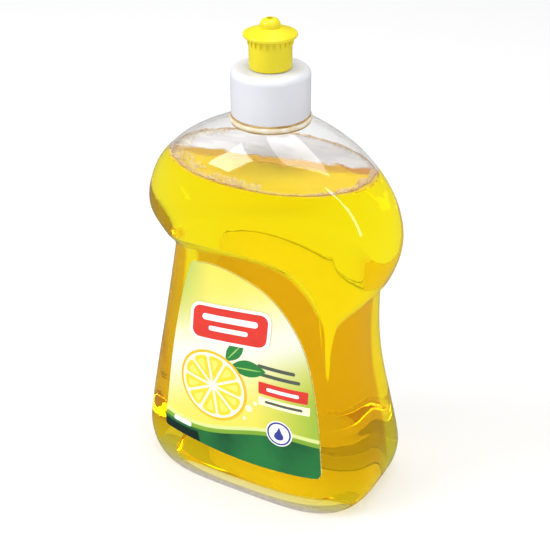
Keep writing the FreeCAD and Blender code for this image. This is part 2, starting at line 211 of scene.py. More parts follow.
def pass_straight(tree, shader, output):
    """Where wall and liquid touch, light that is already in the bottle goes straight on."""
    path = add_node(tree, "ShaderNodeLightPath")
    inside = calculate(tree, "SUBTRACT", 1.0, path.outputs["Is Camera Ray"])
    clear_for(tree, inside, shader, output, WHITE)


def make_clear(shader, refraction):
    """Smooth and clear without a tint."""
    set_inputs(shader, Transmission_Weight=1.0, IOR=refraction, Roughness=0.0, Base_Color=WHITE)


# Materials

# Height of the ledge round the bottle: (angle from the right side in degrees, millimetres).
LEDGE = [(0, 90.5), (15, 90), (38, 85), (41.4, 78.5), (43.3, 71.2), (45, 62), (46.3, 73), (48, 84.8),
         (51, 90.5), (57, 97.7), (66, 103.3), (84, 105.8), (108, 104.7), (128, 101.9), (155, 98.8),
         (180, 98)]

# The height in millimetres that 1 stands for in the ledge's curve.
LEDGE_SCALE = 120.0

# The angles are measured with the depth stretched by this, which makes the bottle about as deep as wide.
DEPTH_STRETCH = 1.75

# The painted bright band beside the labels' left edge, by the same angle in radians.
PAINTED_LEFT_BAND_ANGLE = 2.11

# How much of the painted amber shade is taken away in the painted bright bands.
PAINTED_BAND_FADE = 0.8


def painted_recess_shade_share(tree):
    """Painted amber shade: 1 in recessed panels, less in the heel and the painted bright bands beside them,
    0 in bulb and tongues.
    """
    across, along, up = object_axes(tree)
    stretched = times(tree, calculate(tree, "ABSOLUTE", along), DEPTH_STRETCH)
    angle = calculate(tree, "ARCTAN2", stretched, across)
    curve = add_node(tree, "ShaderNodeFloatCurve")
    points = curve.mapping.curves[0].points
    points[0].location = (0.0, LEDGE[0][1] / LEDGE_SCALE)
    points[1].location = (1.0, LEDGE[-1][1] / LEDGE_SCALE)
    for degrees, height in LEDGE[1:-1]:
        points.new(degrees / 180.0, height / LEDGE_SCALE)
    curve.mapping.update()
    tree.links.new(calculate(tree, "DIVIDE", angle, math.pi), curve.inputs["Value"])
    ledge = times(tree, curve.outputs["Value"], LEDGE_SCALE * MM)
    below = calculate(tree, "SUBTRACT", ledge, up)
    recess = spread(tree, below, 0.0012, 0.0042)
    heel = calculate(tree, "MULTIPLY_ADD", spread(tree, up, 0.008, 0.026), 0.55, 0.45)
    # painted bright bands: the amber is lifted on the far right and beside the labels' left edge
    painted_right_band = times(tree, spread(tree, across, 0.02, 0.03), spread(tree, along, 0.0005, 0.0025))
    from_band = calculate(tree, "ABSOLUTE", calculate(tree, "SUBTRACT", angle, PAINTED_LEFT_BAND_ANGLE))
    left = times(tree, spread(tree, from_band, 0.1, 0.05), spread(tree, up, 0.02, 0.045))
    bands = calculate(tree, "ADD", painted_right_band, left)
    amber_left_by_painted_bands = calculate(tree, "MULTIPLY_ADD", bands, -PAINTED_BAND_FADE, 1.0)
    return times(tree, times(tree, recess, heel), amber_left_by_painted_bands)


def clear_plastic():
    """Blown clear wall with faint waves; the camera's straight rays see its recessed panels in a painted
    amber shade.
    """
    material, tree, shader, output = new_material("clear_wall")
    set_inputs(shader, Transmission_Weight=1.0, IOR=WALL_IOR, Roughness=0.015)
    path = add_node(tree, "ShaderNodeLightPath")
    # painted shade: rays straight from the camera see the recessed panels darkened to amber
    painted_amber_share = times(tree, painted_recess_shade_share(tree), path.outputs["Is Camera Ray"])
    tint = mix_by(tree, painted_amber_share, WALL_TINT, PAINTED_RECESS_SHADE)
    tree.links.new(tint, shader.inputs["Base Color"])
    add_bump(tree, shader, noise(tree, 40.0, 1.0, (1.0, 1.0, 0.5)), 0.00008)
    let_lamps_through(tree, shader.outputs["BSDF"], output, SHADOW_TINT)
    return material


def wetted_wall():
    """Inner wall where the liquid touches it: light goes straight on."""
    material, tree, shader, output = new_material("wetted_wall")
    make_clear(shader, 1.0)
    pass_straight(tree, shader.outputs["BSDF"], output)
    return material


def add_soap_volume(tree, output):
    """Absorbs blue at once and green slowly; a faint painted glow keeps long paths amber instead of black.
    """
    absorb = add_node(tree, "ShaderNodeVolumeAbsorption")
    absorb.inputs["Color"].default_value = SOAP_TINT
    absorb.inputs["Density"].default_value = SOAP_DENSITY
    # painted glow: the liquid gives off light, though it is no lamp
    painted_glow = add_node(tree, "ShaderNodeEmission")
    painted_glow.inputs["Color"].default_value = SOAP_GLOW_TINT
    painted_glow.inputs["Strength"].default_value = SOAP_GLOW
    both = add_node(tree, "ShaderNodeAddShader")
    tree.links.new(absorb.outputs["Volume"], both.inputs[0])
    tree.links.new(painted_glow.outputs["Emission"], both.inputs[1])
    tree.links.new(both.outputs["Shader"], output.inputs["Volume"])


def soap():
    """Clear yellow liquid behind the wetted wall."""
    material, tree, shader, output = new_material("soap_body")
    make_clear(shader, 1.0)
    add_soap_volume(tree, output)
    pass_straight(tree, shader.outputs["BSDF"], output)
    return material


def soap_top():
    """The level top: painted yellow in front, then open liquid, then a painted pale reflection with a ragged
    edge.
    """
    material, tree, shader, output = new_material("soap_top")
    make_clear(shader, LIQUID_IOR)
    add_soap_volume(tree, output)
    across, along, _ = object_axes(tree)
    behind = calculate(tree, "MULTIPLY_ADD", across, TOP_DIRECTION[0], times(tree, along, TOP_DIRECTION[1]))
    ragged = calculate(tree, "MULTIPLY_ADD", noise(tree, 170.0, 3.0), TOP_RAGGEDNESS, behind)
    film = spread(tree, ragged, *TOP_PAINTED_REFLECTION)
    # painted reflection: pale grey streaks on the back of the surface stand for bright light mirrored there
    painted_reflection = add_node(tree, "ShaderNodeBsdfDiffuse")
    pale = spread(tree, noise(tree, 120.0, 4.0, (1.0, 2.5, 1.0)), 0.4, 0.6)
    painted_reflection_tint = mix_by(tree, pale, (0.64, 0.64, 0.66, 1.0), (0.75, 0.74, 0.73, 1.0))
    tree.links.new(painted_reflection_tint, painted_reflection.inputs["Color"])
    lit = add_node(tree, "ShaderNodeBsdfDiffuse")
    lit.inputs["Color"].default_value = (0.8, 0.6, 0.03, 1.0)
    front = add_node(tree, "ShaderNodeMixShader")
    painted = times(tree, spread(tree, ragged, *TOP_FRONT), 0.7)
    tree.links.new(painted, front.inputs["Fac"])
    tree.links.new(shader.outputs["BSDF"], front.inputs[1])
    tree.links.new(lit.outputs["BSDF"], front.inputs[2])
    under_painted_reflection = add_node(tree, "ShaderNodeMixShader")
    tree.links.new(times(tree, film, 0.93), under_painted_reflection.inputs["Fac"])
    tree.links.new(front.outputs["Shader"], under_painted_reflection.inputs[1])
    tree.links.new(painted_reflection.outputs["BSDF"], under_painted_reflection.inputs[2])
    let_lamps_through(tree, under_painted_reflection.outputs["Shader"], output, WHITE)
    return material


def moulded_plastic(name, cloud_scale, low, high, roughness):
    """Moulded plastic with a faint cloud in its colour and a fine grain."""
    material, tree, shader, _ = new_material(name)
    tint = mix_by(tree, noise(tree, cloud_scale, 3.0), low, high)
    tree.links.new(tint, shader.inputs["Base Color"])
    set_inputs(shader, Roughness=roughness, IOR=CLOSURE_IOR)
    add_bump(tree, shader, noise(tree, 2600.0, 2.0), 0.000012)
    return material


def white_plastic():
    return moulded_plastic("white_cap", 90.0, colour(211, 212, 219), colour(219, 220, 226), 0.34)


def yellow_plastic():
    return moulded_plastic("yellow_spout", 110.0, colour(222, 205, 16), colour(232, 216, 32), 0.32)


def liner_foam():
    material, tree, shader, _ = new_material("liner_foam")
    cells = noise(tree, 1800.0, 2.0)
    tint = mix_by(tree, cells, colour(225, 225, 222), colour(240, 240, 238))
    tree.links.new(tint, shader.inputs["Base Color"])
    set_inputs(shader, Roughness=0.7)
    add_bump(tree, shader, cells, 0.00006)
    return material


# The label's glow: height of its middle at the bottle's axis, and its spread, in metres.
GLOW_HEIGHT = 0.0655
GLOW_SPREAD = 0.0105


def label_glow(tree, across, up, cloud):
    """Yellow with a soft white diagonal band that climbs to the right."""
    off_line = calculate(tree, "MULTIPLY_ADD", across, -0.42, calculate(tree, "SUBTRACT", up, GLOW_HEIGHT))
    off_line = calculate(tree, "MULTIPLY_ADD", cloud, 0.012, calculate(tree, "SUBTRACT", off_line, 0.006))
    squared = times(tree, off_line, off_line)
    # a bell curve, with e as 2.718
    glow = calculate(tree, "POWER", 2.718, times(tree, squared, -1.0 / (2.0 * GLOW_SPREAD ** 2)))
    return mix_by(tree, glow, colour(238, 226, 92), colour(243, 243, 226))


def label_greens(tree, tint, across, up):
    """Adds green on the right below the glow and in the top left corner."""
    right = times(tree, spread(tree, across, 0.006, 0.031), spread(tree, up, 0.078, 0.05))
    tint = mix_by(tree, times(tree, right, 0.9), tint, colour(150, 186, 58))
    corner = times(tree, spread(tree, across, -0.012, -0.026), spread(tree, up, 0.06, 0.092))
    return mix_by(tree, times(tree, corner, 0.85), tint, colour(150, 190, 105))


def label_waves(tree, tint, across, up, cloud):
    """Adds waves along the bottom, rising to the right, and a near-black field at their left end."""
    slope = calculate(tree, "MULTIPLY_ADD", across, 0.11, 0.0275)
    ripple = times(tree, calculate(tree, "SINE", times(tree, across, 95.0)), 0.0022)
    crest = calculate(tree, "ADD", slope, ripple)
    below = calculate(tree, "SUBTRACT", crest, up)
    tint = mix_by(tree, spread(tree, below, -0.0034, -0.0030), tint, colour(222, 232, 150))
    tint = mix_by(tree, spread(tree, below, -0.0018, -0.0015), tint, colour(128, 172, 52))
    deep = mix_by(tree, spread(tree, cloud, 0.35, 0.65), colour(22, 84, 48), colour(38, 122, 62))
    tint = mix_by(tree, spread(tree, below, 0.0, 0.0003), tint, deep)
    field = calculate(tree, "MULTIPLY_ADD", up, 0.35, across)
    dark = times(tree, spread(tree, field, -0.0105, -0.0108), spread(tree, below, 0.0012, 0.0015))
    return mix_by(tree, dark, tint, colour(16, 42, 32))


def label_ground():
    """Printed ground: yellow with a white glow, green towards the edges, and dark green waves below."""
    material, tree, shader, _ = new_material("label_ground")
    across, _, up = object_axes(tree)
    cloud = noise(tree, 45.0, 3.0)
    tint = label_glow(tree, across, up, cloud)
    tint = label_greens(tree, tint, across, up)
    tint = label_waves(tree, tint, across, up, cloud)
    tree.links.new(tint, shader.inputs["Base Color"])
    set_inputs(shader, Roughness=0.3, IOR=PRINT_IOR)
    add_bump(tree, shader, noise(tree, 900.0, 2.0), 0.00001)
    return material


def label_back():
    """The unprinted side of the film, seen through the liquid, with a painted glow in its own tint."""
    material, tree, shader, _ = new_material("label_back")
    cloud = noise(tree, 60.0, 2.0)
    tint = mix_by(tree, cloud, (0.73, 0.8, 0.4, 1.0), (0.8, 0.87, 0.45, 1.0))
    tree.links.new(tint, shader.inputs["Base Color"])
    # painted glow: the plain side gives off light in its own tint, though it is no lamp
    tree.links.new(tint, shader.inputs["Emission Color"])
    set_inputs(shader, Roughness=0.5, Emission_Strength=0.4)
    return material


def ink(name, tint):
    """Flat print ink with the slight mottle of print."""
    material, tree, shader, _ = new_material("ink_" + name)
    lighter = tuple(min(1.0, 1.12 * value + 0.006) for value in tint[:3]) + (1.0,)
    mottle = spread(tree, noise(tree, 130.0, 3.0), 0.3, 0.7)
    tree.links.new(mix_by(tree, mottle, tint, lighter), shader.inputs["Base Color"])
    set_inputs(shader, Roughness=0.3, IOR=PRINT_IOR)
    return material


def foam_film():
    """Fine foam: pale cells with amber seams, half see-through."""
    material, tree, shader, _ = new_material("foam_film")
    place = add_node(tree, "ShaderNodeTexCoord")
    cells = add_node(tree, "ShaderNodeTexVoronoi", feature="DISTANCE_TO_EDGE")
    cells.inputs["Scale"].default_value = 1500.0
    tree.links.new(place.outputs["Object"], cells.inputs["Vector"])
    seam = spread(tree, cells.outputs["Distance"], 0.04, 0.22)
    tint = mix_by(tree, seam, colour(196, 132, 52), colour(250, 232, 200))
    tree.links.new(tint, shader.inputs["Base Color"])
    tree.links.new(calculate(tree, "MULTIPLY_ADD", seam, 0.15, 0.7), shader.inputs["Alpha"])
    set_inputs(shader, Roughness=0.25)
    return material


def bubble_skin():
    """Thin soap skin of a single bubble, with a painted amber shade towards its outline."""
    material, tree, shader, _ = new_material("bubble_skin")
    edge = add_node(tree, "ShaderNodeLayerWeight")
    edge.inputs["Blend"].default_value = 0.35
    # painted shade: towards its outline, as seen, the skin turns amber and less see-through, standing in for
    # the dark edge that refraction gives a real bubble
    rim = spread(tree, edge.outputs["Facing"], 0.35, 0.95)
    tint = mix_by(tree, rim, colour(255, 246, 214), colour(200, 138, 60))
    tree.links.new(tint, shader.inputs["Base Color"])
    tree.links.new(calculate(tree, "MULTIPLY_ADD", rim, 0.62, 0.16), shader.inputs["Alpha"])
    set_inputs(shader, Roughness=0.04, IOR=1.4)
    return material


def pale_ring_look():
    """Pale, clouded in streaks and slightly see-through."""
    material, tree, shader, _ = new_material("pale_ring_look")
    cloud = spread(tree, noise(tree, 320.0, 3.0, (1.0, 1.0, 3.0)), 0.3, 0.7)
    tint = mix_by(tree, cloud, colour(226, 206, 160), colour(246, 242, 232))
    tree.links.new(tint, shader.inputs["Base Color"])
    set_inputs(shader, Roughness=0.2, Alpha=0.85)
    return material


def gold_seam():
    """Golden, slightly see-through, with a faint cloud in its colour."""
    material, tree, shader, _ = new_material("gold_seam")
    cloud = spread(tree, noise(tree, 260.0, 2.0), 0.35, 0.65)
    tint = mix_by(tree, cloud, colour(176, 128, 48), colour(214, 178, 104))
    tree.links.new(tint, shader.inputs["Base Color"])
    set_inputs(shader, Roughness=0.12, IOR=1.4, Alpha=0.85)
    return material


def dress(node, *materials):
    slots = nodes[node].data.materials
    slots.clear()
    for material in materials:
        slots.append(material)


# Studio

def make_camera():
    """The photograph's view: angles in degrees, distance in metres."""
    azimuth = math.radians(29.524)
    elevation = math.radians(30.067)
    roll = math.radians(-0.297)
    distance = 0.43975
    aim_height = 0.083953
    aim_right = 0.001148
    focal_pixels = 1170.72
    image_pixels = 550.0
    back = Vector((math.sin(azimuth) * math.cos(elevation), -math.cos(azimuth) * math.cos(elevation),
                   math.sin(elevation)))
    right = Vector((math.cos(azimuth), math.sin(azimuth), 0.0))
    up = back.cross(right)
    turned_right = right * math.cos(roll) + up * math.sin(roll)
    turned_up = up * math.cos(roll) - right * math.sin(roll)
    place = Vector((0.0, 0.0, aim_height)) + right * aim_right + back * distance
    data = bpy.data.cameras.new("camera")
    data.sensor_width = 36.0
    data.lens = focal_pixels / image_pixels * data.sensor_width
    data.clip_start = 0.01
    data.clip_end = 20.0
    camera = bpy.data.objects.new("camera", data)
    bpy.context.scene.collection.objects.link(camera)
    axes = Matrix((turned_right, turned_up, back)).transposed()
    camera.matrix_world = Matrix.Translation(place) @ axes.to_4x4()
    bpy.context.scene.camera = camera


def mirrored_rays(tree, path):
    """1 for rays that an outer surface has just mirrored, and 0 for all that went into the bottle."""
    outside = calculate(tree, "LESS_THAN", path.outputs["Transmission Depth"], 0.5)
    return times(tree, path.outputs["Is Glossy Ray"], outside)


def make_floor():
    """White floor: rays straight to it or through the bottle see it glow, and reflections see it dim."""
    bpy.ops.mesh.primitive_plane_add(size=6.0, location=(0.0, 0.0, 0.0))
    floor = bpy.context.object
    floor.name = "floor"
    material, tree, shader, output = new_material("floor_white")
    set_inputs(shader, Roughness=0.9, Base_Color=FLOOR_TINT)
    glow = add_node(tree, "ShaderNodeEmission")
    glow.inputs["Color"].default_value = WHITE
    path = add_node(tree, "ShaderNodeLightPath")
    through = times(tree, path.outputs["Is Transmission Ray"], FLOOR_GLOW_THROUGH)
    share = calculate(tree, "MULTIPLY_ADD", path.outputs["Is Camera Ray"], FLOOR_GLOW_STRAIGHT, through)
    mix = add_node(tree, "ShaderNodeMixShader")
    tree.links.new(share, mix.inputs["Fac"])
    tree.links.new(shader.outputs["BSDF"], mix.inputs[1])
    tree.links.new(glow.outputs["Emission"], mix.inputs[2])
    dim = add_node(tree, "ShaderNodeEmission")
    dim.inputs["Color"].default_value = FLOOR_MIRRORED
    final = add_node(tree, "ShaderNodeMixShader")
    tree.links.new(mirrored_rays(tree, path), final.inputs["Fac"])
    tree.links.new(mix.outputs["Shader"], final.inputs[1])
    tree.links.new(dim.outputs["Emission"], final.inputs[2])
    tree.links.new(final.outputs["Shader"], output.inputs["Surface"])
    floor.data.materials.append(material)


def make_world():
    """A white room that mirror reflections see dimly, as in a studio with dark walls round its lamps."""
    world = bpy.data.worlds.new("studio")
    world.use_nodes = True
    tree = world.node_tree
    ground = tree.nodes["Background"]
    ground.inputs["Color"].default_value = WHITE
    path = add_node(tree, "ShaderNodeLightPath")
    mirrored = mirrored_rays(tree, path)
    strength = calculate(tree, "MULTIPLY_ADD", mirrored, -ROOM_DIMMING, ROOM_LIGHT)
    tree.links.new(strength, ground.inputs["Strength"])
    bpy.context.scene.world = world


def add_softbox(name, place, aim, width, height, watts):
    data = bpy.data.lights.new(name, "AREA")
    data.shape = "RECTANGLE"
    data.size = width
    data.size_y = height
    data.energy = watts
    lamp = bpy.data.objects.new(name, data)
    bpy.context.scene.collection.objects.link(lamp)
    lamp.location = place
    lamp.rotation_mode = "QUATERNION"
    lamp.rotation_quaternion = (Vector(place) - Vector(aim)).to_track_quat("Z", "Y")


def make_studio():
    """Floor, room and three lamps: softboxes at the left and above, and an upright strip at the right."""
    make_floor()
    make_world()
    add_softbox("softbox_left", place=(-0.7, -0.6, 0.9), aim=(0.0, 0.0, 0.1),
                width=0.5, height=0.7, watts=8.5)
    add_softbox("softbox_top", place=(0.1, 0.1, 1.1), aim=(0.0, 0.0, 0.1),
                width=0.6, height=0.6, watts=5.0)
    add_softbox("strip_right", place=(0.624, -0.318, 0.52), aim=(0.04, -0.014, 0.52),
                width=0.04, height=0.88, watts=1.2)


# Bottle and liquid

def mark_wetted_wall():
    """Gives the bottle's faces that touch the liquid the second material."""
    liquid = nodes["liquid_soap"].data
    tree = BVHTree.FromPolygons([v.co for v in liquid.vertices], [p.vertices for p in liquid.polygons])
    for face in nodes["bottle"].data.polygons:
        face.material_index = 1 if tree.find_nearest(face.center, TOUCHING)[0] is not None else 0


def mark_liquid_top():
    """Gives the liquid's level top the material that meets air."""
    mesh = nodes["liquid_soap"].data
    top = max(v.co.z for v in mesh.vertices)
    for face in mesh.polygons:
        face.material_index = 1 if face.center.z > top - LEVEL else 0


def push_out(node, distance):
    """Moves a node's surface outward by a modifier, so that it overlaps the wall that it touches."""
    modifier = nodes[node].modifiers.new("glued", "DISPLACE")
    modifier.strength = distance
    modifier.mid_level = 0.0


def swell_liquid():
    """Lets the liquid reach a little into the wall, so that their two surfaces never fight."""
    joined = nodes["liquid_soap"].modifiers.new("joined", "WELD")
    joined.merge_threshold = 0.001 * MM
    push_out("liquid_soap", LIQUID_PUSH)
    edges = nodes["liquid_soap"].modifiers.new("sharp_edges", "EDGE_SPLIT")
    edges.split_angle = math.radians(35)


def mark_plain_side(node, outward):
    """Gives the label's faces that look inward the second material."""
    for face in nodes[node].data.polygons:
        face.material_index = 0 if face.normal.y * outward > 0.0 else 1


# Pieces made by mesh code

def mesh_piece(name, vertices, faces, material, body, smooth=True):
    mesh = bpy.data.meshes.new(name)
    mesh.from_pydata([tuple(vertex) for vertex in vertices], [], faces)
    mesh.materials.append(material)
    for face in mesh.polygons:
        face.use_smooth = smooth
    piece = bpy.data.objects.new(name, mesh)
    bpy.context.scene.collection.objects.link(piece)
    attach(piece, body)


def shown_surface(node):
    """A tree over a node's mesh with its modifiers."""
    depsgraph = bpy.context.evaluated_depsgraph_get()
    mesh = nodes[node].evaluated_get(depsgraph).to_mesh()
    corners = [v.co.copy() for v in mesh.vertices]
    return BVHTree.FromPolygons(corners, [tuple(p.vertices) for p in mesh.polygons])


# Print outlines are lists of (across, up) in millimetres, facing the front label.

def turned(points, centre, degrees):
    angle = math.radians(degrees)
    return [(centre[0] + x * math.cos(angle) - y * math.sin(angle),
             centre[1] + x * math.sin(angle) + y * math.cos(angle)) for x, y in points]


def disc(centre, radius):
    corners = 48
    angles = [2 * math.pi * i / corners for i in range(corners)]
    points = [(radius * math.cos(angle), radius * math.sin(angle)) for angle in angles]
    return turned(points, centre, 0.0)


def bar(centre, width, height, corner, degrees=0.0, shear=0.0):
    """Rounded bar, leaning by a shear."""
    points = []
    for corner_number, (side, level) in enumerate(((1, -1), (1, 1), (-1, 1), (-1, -1))):
        for step in range(7):
            angle = math.radians(-90 + 90 * corner_number + 15 * step)
            x = side * (width / 2 - corner) + corner * math.cos(angle)
            y = level * (height / 2 - corner) + corner * math.sin(angle)
            points.append((x + shear * y, y))
    return turned(points, centre, degrees)


def wedge(centre, inner, outer, middle_degrees, half_degrees):
    """One citrus segment with a rounded outer edge."""
    points = [(inner, 0.0)]
    for step in range(9):
        share = -1 + step / 4
        angle = math.radians(half_degrees * share)
        reach = outer * (1 - 0.07 * abs(share) ** 5)
        points.append((reach * math.cos(angle), reach * math.sin(angle)))
    return turned(points, centre, middle_degrees)


def leaf(root, length, width, degrees):
    """Pointed leaf with its stalk end at the root."""
    upper = [(length * i / 14, width / 2 * math.sin(math.pi * i / 14) ** 0.8) for i in range(15)]
    lower = [(x, -0.86 * y) for x, y in reversed(upper[1:-1])]
    return turned(list(reversed(upper + lower)), root, degrees)


def fill_outlines(work, outlines):
    """Fills outlines in the plane of the bottle's axis and cuts them into steps, so that they can bend."""
    for outline in outlines:
        corners = [work.verts.new((x * MM, 0.0, z * MM)) for x, z in outline]
        work.faces.new(corners)
    bmesh.ops.triangulate(work, faces=work.faces[:], ngon_method="EAR_CLIP")
    for axis in (Vector((1.0, 0.0, 0.0)), Vector((0.0, 0.0, 1.0))):
        places = [v.co.dot(axis) for v in work.verts]
        cut = math.ceil(min(places) / PRINT_STEP)
        while cut * PRINT_STEP < max(places):
            geometry = work.verts[:] + work.edges[:] + work.faces[:]
            bmesh.ops.bisect_plane(work, geom=geometry, plane_co=axis * cut * PRINT_STEP, plane_no=axis,
                                   dist=1e-7)
            cut += 1


def lay_on_film(work, name, surface, side, layer):
    """Moves flat print on to a label's surface and turns its faces outward."""
    for vertex in work.verts:
        start = Vector((vertex.co.x, side * OUTSIDE, vertex.co.z))
        hit = surface.ray_cast(start, Vector((0.0, -side, 0.0)))[0]
        if hit is None:
            raise RuntimeError("%s reaches past its label at %.1f, %.1f mm"
                               % (name, vertex.co.x / MM, vertex.co.z / MM))
        vertex.co.y = hit.y + side * INK_STEP * (layer + 1)
    bmesh.ops.triangulate(work, faces=work.faces[:])
    for face in work.faces:
        face.normal_update()
        if face.normal.y * side < 0.0:
            face.normal_flip()
        face.smooth = True


def print_piece(name, label, outlines, layer, material):
    """Ink lying on a label: each outline is filled, cut into short steps and laid on the film."""
    side = -1.0 if label == "front" else 1.0
    work = bmesh.new()
    fill_outlines(work, outlines)
    lay_on_film(work, name, label_surfaces[label], side, layer)
    mesh = bpy.data.meshes.new(name)
    work.to_mesh(mesh)
    work.free()
    mesh.materials.append(material)
    piece = bpy.data.objects.new(name, mesh)
    bpy.context.scene.collection.objects.link(piece)
    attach(piece, "bottle")


def citrus_wheel(name, label, centre, radius, layer, inks):
    """A cut citrus fruit: rind, pith, ten segments and a pale core."""
    print_piece(name + "_rind", label, [disc(centre, radius)], layer, inks["rind"])
    print_piece(name + "_pith", label, [disc(centre, 0.93 * radius)], layer + 1, inks["pith"])
    segments = [wedge(centre, 0.12 * radius, 0.86 * radius, 36 * i + 10, 15.6) for i in range(10)]
    print_piece(name + "_segments", label, segments, layer + 2, inks["segment"])
    lights = [wedge(centre, 0.4 * radius, 0.76 * radius, 36 * i + 12, 8.5) for i in range(10)]
    print_piece(name + "_lights", label, lights, layer + 3, inks["light"])


def drop_outline(centre):
    """A drop with its tip up."""
    tip_height = 2.9
    belly = 1.9
    belly_drop = 0.9
    points = [(0.0, tip_height)]
    for angle in [math.radians(40 + 20 * i) for i in range(15)]:
        across = belly * math.sin(angle) * (1 - 0.25 * math.cos(angle))
        points.append((across, -belly_drop - belly * math.cos(math.pi - angle)))
    return list(reversed(turned(points, centre, 0.0)))


def make_inks():
    return {
        "white": ink("white", colour(250, 250, 246)),
        "red": ink("red", colour(216, 52, 40)),
        "rind": ink("rind", colour(240, 188, 22)),
        "pith": ink("pith", colour(252, 247, 214)),
        "segment": ink("segment", colour(246, 212, 48)),
        "light": ink("light", colour(252, 230, 104)),
        "leaf": ink("leaf", colour(40, 128, 58)),
        "vein": ink("vein", colour(150, 198, 96)),
        "grey": ink("grey", colour(84, 92, 78)),
        "blue": ink("blue", colour(52, 62, 150)),
        "cream": ink("cream", colour(246, 240, 202)),
    }


def print_front(inks):
    """Wheel with two leaves, ribbon, lines, bars and a badge with a drop."""
    wheel = (-11.5, 45.5)
    leaves = [leaf((-3.5, 56.5), 15.0, 7.5, 8.0), leaf((-5.5, 58.5), 12.0, 6.0, 52.0)]
    print_piece("front_leaves", "front", leaves, 0, inks["leaf"])
    veins = [leaf((-2.5, 56.6), 12.5, 0.7, 8.0), leaf((-5.0, 59.2), 10.0, 0.6, 52.0)]
    print_piece("front_veins", "front", veins, 1, inks["vein"])
    citrus_wheel("front_wheel", "front", wheel, 15.0, 2, inks)
    ribbon = (-4.2, 73.6)
    print_piece("front_ribbon_edge", "front", [bar(ribbon, 35.0, 16.0, 4.6, 7.0, 0.2)], 6, inks["white"])
    print_piece("front_ribbon", "front", [bar(ribbon, 32.4, 13.4, 3.4, 7.0, 0.2)], 7, inks["red"])
    print_piece("front_ribbon_stripes", "front",
                [bar((-3.9, 76.0), 24.0, 2.6, 1.2, 7.0, 0.2), bar((-4.6, 71.4), 17.0, 2.0, 0.9, 7.0, 0.2)],
                8, inks["white"])
    print_piece("front_lines", "front",
                [bar((15.5, 60.6), 15.0, 1.5, 0.7), bar((16.5, 57.2), 17.0, 1.5, 0.7)], 0, inks["grey"])
    print_piece("front_bar", "front", [bar((18.3, 51.4), 19.6, 5.2, 0.5)], 0, inks["red"])
    print_piece("front_bar_line", "front", [bar((18.3, 51.4), 13.0, 1.5, 0.7)], 1, inks["white"])
    print_piece("front_low_bar", "front", [bar((18.8, 45.8), 20.6, 3.6, 0.4)], 0, inks["cream"])
    print_piece("front_low_line", "front", [bar((18.8, 45.8), 15.0, 1.1, 0.5)], 1, inks["grey"])
    badge = (17.5, 33.5)
    print_piece("front_badge", "front", [disc(badge, 5.4)], 0, inks["white"])
    print_piece("front_badge_ring", "front", [disc(badge, 4.9)], 1, inks["blue"])
    print_piece("front_badge_field", "front", [disc(badge, 4.2)], 2, inks["white"])
    print_piece("front_badge_drop", "front", [drop_outline(badge)], 3, inks["blue"])
    print_piece("front_dark_bar", "front", [bar((-25.8, 24.0), 8.6, 1.9, 0.6, -3.0)], 0, inks["white"])
    beads = [disc((4.5, 40.5), 1.5), disc((7.2, 43.6), 0.9), disc((-27.5, 62.5), 1.2),
             disc((-24.6, 65.2), 0.8), disc((2.6, 35.6), 0.8)]
    print_piece("front_beads", "front", beads, 0, inks["cream"])


def print_back(inks):
    """A small wheel over rows of plain bars."""
    citrus_wheel("back_wheel", "back", (-8.0, 79.0), 8.5, 0, inks)
    print_piece("back_panel", "back", [bar((-2.0, 51.0), 44.0, 27.0, 1.5)], 0, inks["cream"])
    rows = [bar((-2.0 - 1.2 * (i % 3), 61.5 - 3.4 * i), 38.0 - 2.4 * (i % 3), 1.2, 0.5) for i in range(7)]
    print_piece("back_rows", "back", rows, 1, inks["grey"])
    print_piece("back_bar", "back", [bar((-2.0, 67.9), 30.0, 3.4, 0.5)], 0, inks["red"])


def make_print():
    """A plain citrus design in the colours of such packs, with bars where wording would be."""
    inks = make_inks()
    print_front(inks)
    print_back(inks)


def rim_point(angle, height, inward=0.0):
    """A point on the bottle's inner wall at an angle in degrees and a height in metres, drawn inward."""
    way = Vector((math.cos(math.radians(angle)), math.sin(math.radians(angle)), 0.0))
    hit = wall_surface.ray_cast(Vector((0.0, 0.0, height)), way)[0]
    return hit - way * inward


# Height of the foam band: (angle round the rim in degrees, millimetres).
FOAM_HEIGHTS = [(-180, 1.6), (-150, 2.2), (-132, 1.0), (-116, 0.9), (-104, 1.3), (-90, 1.3), (-74, 0.7),
                (-62, 0.35), (-45, 0.8), (-30, 1.1), (-18, 1.5), (-4, 2.2), (12, 1.6), (40, 0.8),
                (90, 0.6), (140, 0.8), (180, 1.6)]

# Bubbles: angle from and to, how many, smallest and largest radius, and reach inward in millimetres.
BUBBLE_CLUSTERS = [(-118, -70, 62, 0.45, 1.05, 2.6), (-178, -134, 70, 0.35, 0.95, 5.0),
                   (150, 180, 34, 0.35, 0.9, 4.0), (-72, -20, 110, 0.2, 0.42, 1.2),
                   (-20, 14, 90, 0.25, 0.55, 1.8), (14, 150, 120, 0.2, 0.5, 1.2),
                   (-134, -118, 26, 0.3, 0.6, 1.6)]
FOAM_STEPS = 360
BUBBLE_TRIES = 12


def foam_height(angle):
    """Height of the foam band at an angle, between its keys."""
    for (start, low), (end, high) in zip(FOAM_HEIGHTS, FOAM_HEIGHTS[1:]):
        if start <= angle <= end:
            return low + (high - low) * (angle - start) / (end - start)
    return FOAM_HEIGHTS[0][1]


